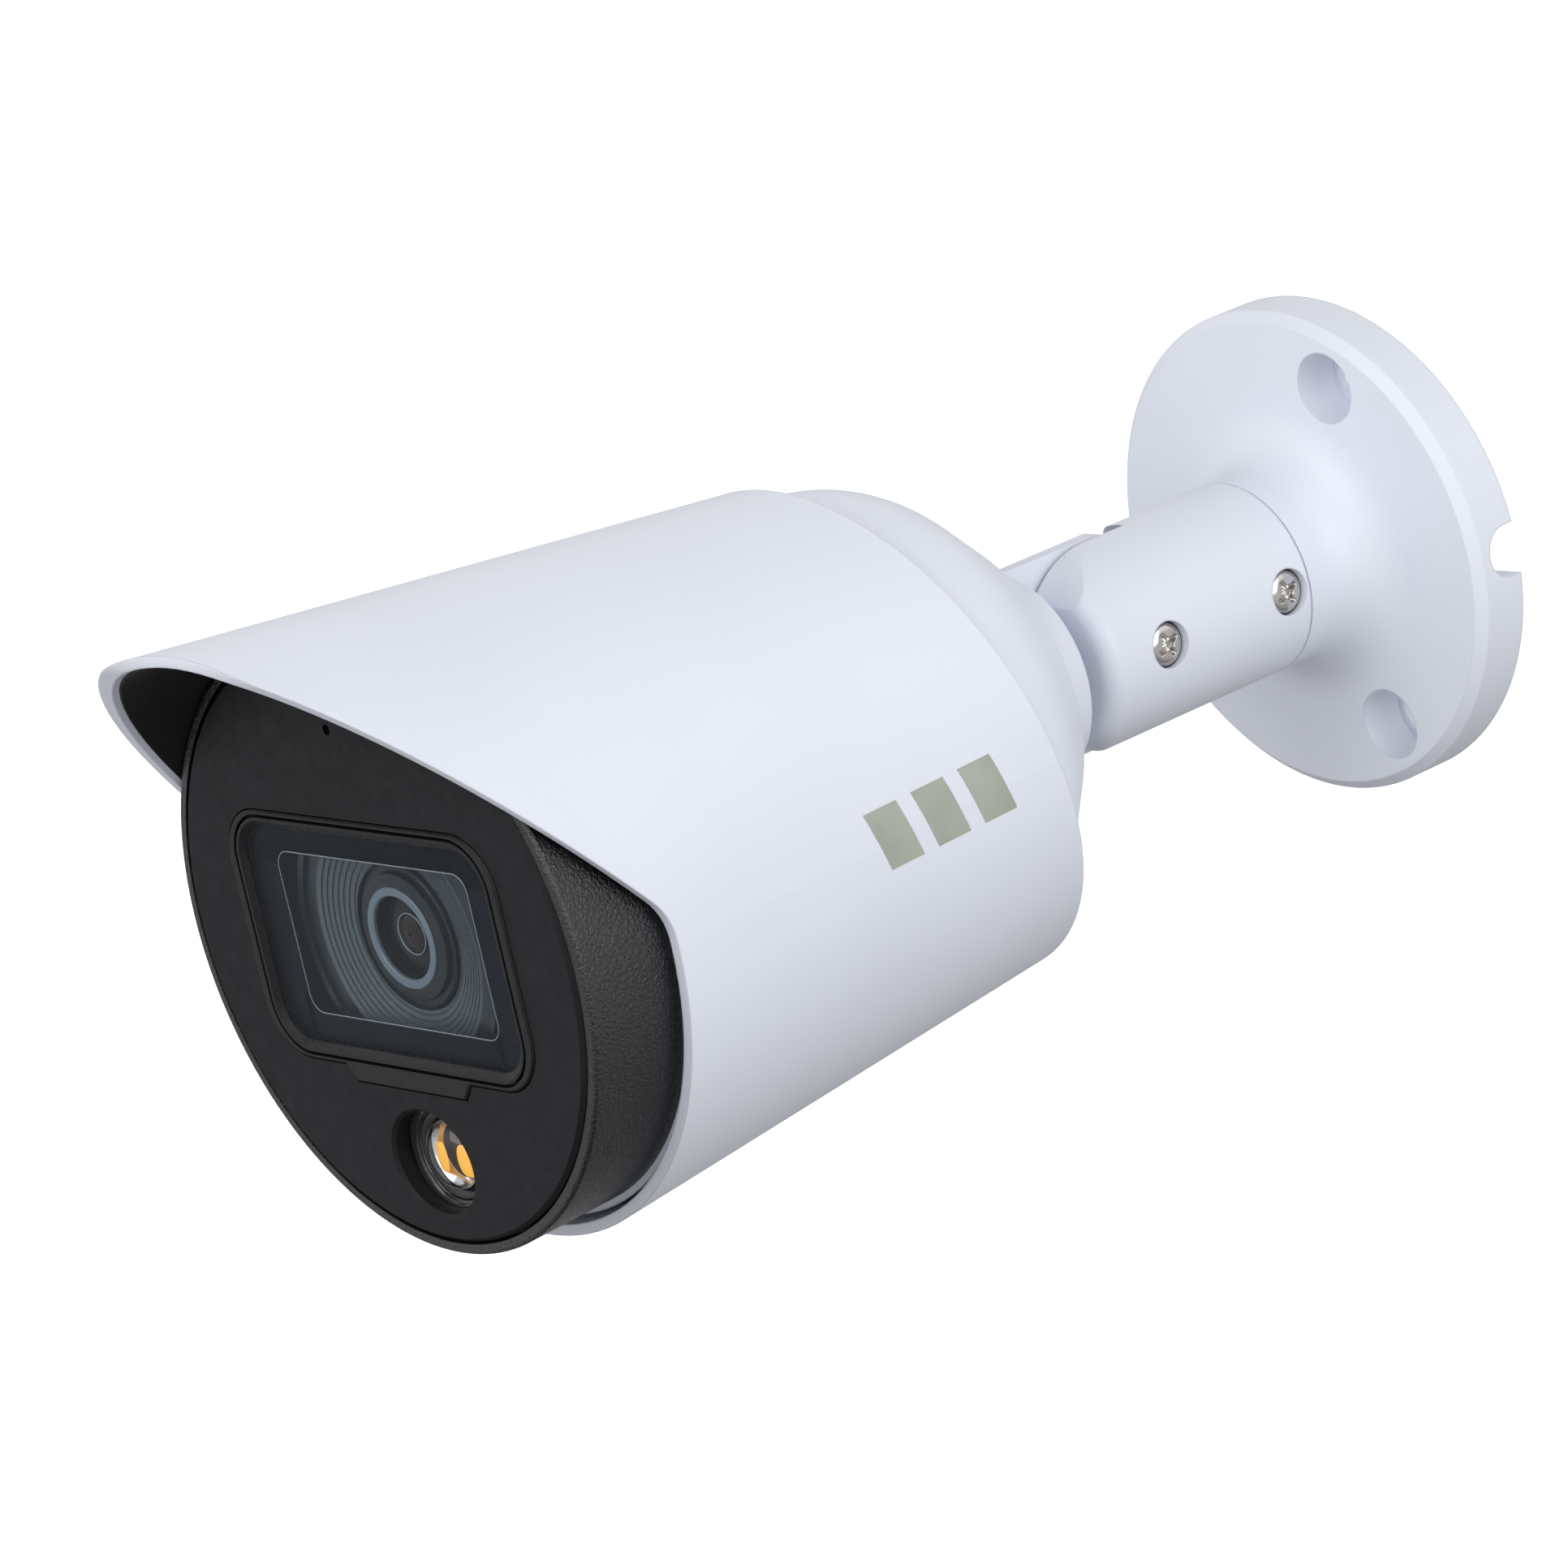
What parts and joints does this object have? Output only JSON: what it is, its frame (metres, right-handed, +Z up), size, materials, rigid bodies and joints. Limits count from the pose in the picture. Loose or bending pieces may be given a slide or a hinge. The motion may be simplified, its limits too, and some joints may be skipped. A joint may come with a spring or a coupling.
{
  "type": "security camera",
  "caption": "Bullet security camera with slanted sunshade, lens window, light and microphone, on a wall bracket that pans, tilts and rolls.",
  "frame": {"origin": "centre of the bracket's wall face", "axes": "+Z up, the lens looks along -Y, the wall is the plane Y = 0, +X is the side with the lock screws"},
  "size_m": [0.0786, 0.1756, 0.0814],
  "materials": {
    "white_casting": "white satin powder coat over die-cast metal, very fine texture",
    "white_shade": "white satin paint, very fine texture",
    "black_grain": "black moulded plastic with fine leather-like grain",
    "black_smooth": "matte black moulded plastic",
    "black_liner": "matte black lining",
    "bezel": "black plastic with sparkling fine grain",
    "stainless": "polished stainless steel",
    "brass": "turned brass",
    "nylon": "natural nylon",
    "rubber": "black silicone rubber",
    "clear_glass": "clear flat glass",
    "mask": "black border print under glass",
    "baffle": "dark grey ridged light baffle",
    "lens_black": "black anodised lens barrel",
    "lens_ring": "blue-grey anodised ring",
    "lens_glass": "coated lens glass",
    "holder": "black lens mount",
    "sensor": "sensor package with cover glass",
    "board": "green solder mask",
    "chip": "black chip package",
    "brass_pillar": "nickel-free brass spacer",
    "led_board": "white solder mask on metal core",
    "led_phosphor": "yellow phosphor",
    "led_lens": "clear moulded collimator",
    "led_ring": "thin bright ring"
  },
  "bodies": {
    "bracket": {"mount_base": "white_casting"},
    "arm_body": {"arm": "white_casting", "pan_lock_screw": "stainless"},
    "knuckle_body": {"knuckle": "white_casting", "tilt_insert": "brass", "tilt_screw": "stainless", "tilt_washer": "nylon", "roll_lock_screw": "stainless"},
    "camera_head": {"housing": "white_casting", "sunshade": "white_shade", "shade_screws": "stainless", "visor_liner": "black_liner", "front_hood": "black_grain", "hood_o_ring": "rubber", "hood_screws": "stainless", "plate_seal": "rubber", "face_plate": "black_smooth", "window_bezel": "bezel", "window_glass": "clear_glass", "window_mask": "mask", "lens_baffle": "baffle", "lens_barrel": "lens_black", "lens_ring": "lens_ring", "lens_element": "lens_glass", "lens_holder": "holder", "image_sensor": "sensor", "sensor_board": "board", "module_pillars": "brass_pillar", "module_plate": "holder", "board_screws": "stainless", "main_board": "board", "processor": "chip", "board_rails": "nylon", "led_holder": "holder", "led_lens": "led_lens", "led_ring": "led_ring", "led_emitter": "led_phosphor", "led_board": "led_board", "microphone": "lens_ring", "cable_grommet": "rubber"}
  },
  "joints": [
    {"name": "arm_pan", "type": "hinge", "parent": "bracket", "child": "arm_body", "pos_m": [0, -0.0179, 0], "axis": [0, 1, 0], "range_deg": [-180, 180]},
    {"name": "head_tilt", "type": "hinge", "parent": "arm_body", "child": "knuckle_body", "pos_m": [0, -0.0422, 0], "axis": [1, 0, 0], "range_deg": [0, 90]},
    {"name": "head_roll", "type": "hinge", "parent": "knuckle_body", "child": "camera_head", "pos_m": [0, -0.0645, 0], "axis": [0, 1, 0], "range_deg": [-180, 180]}
  ]
}
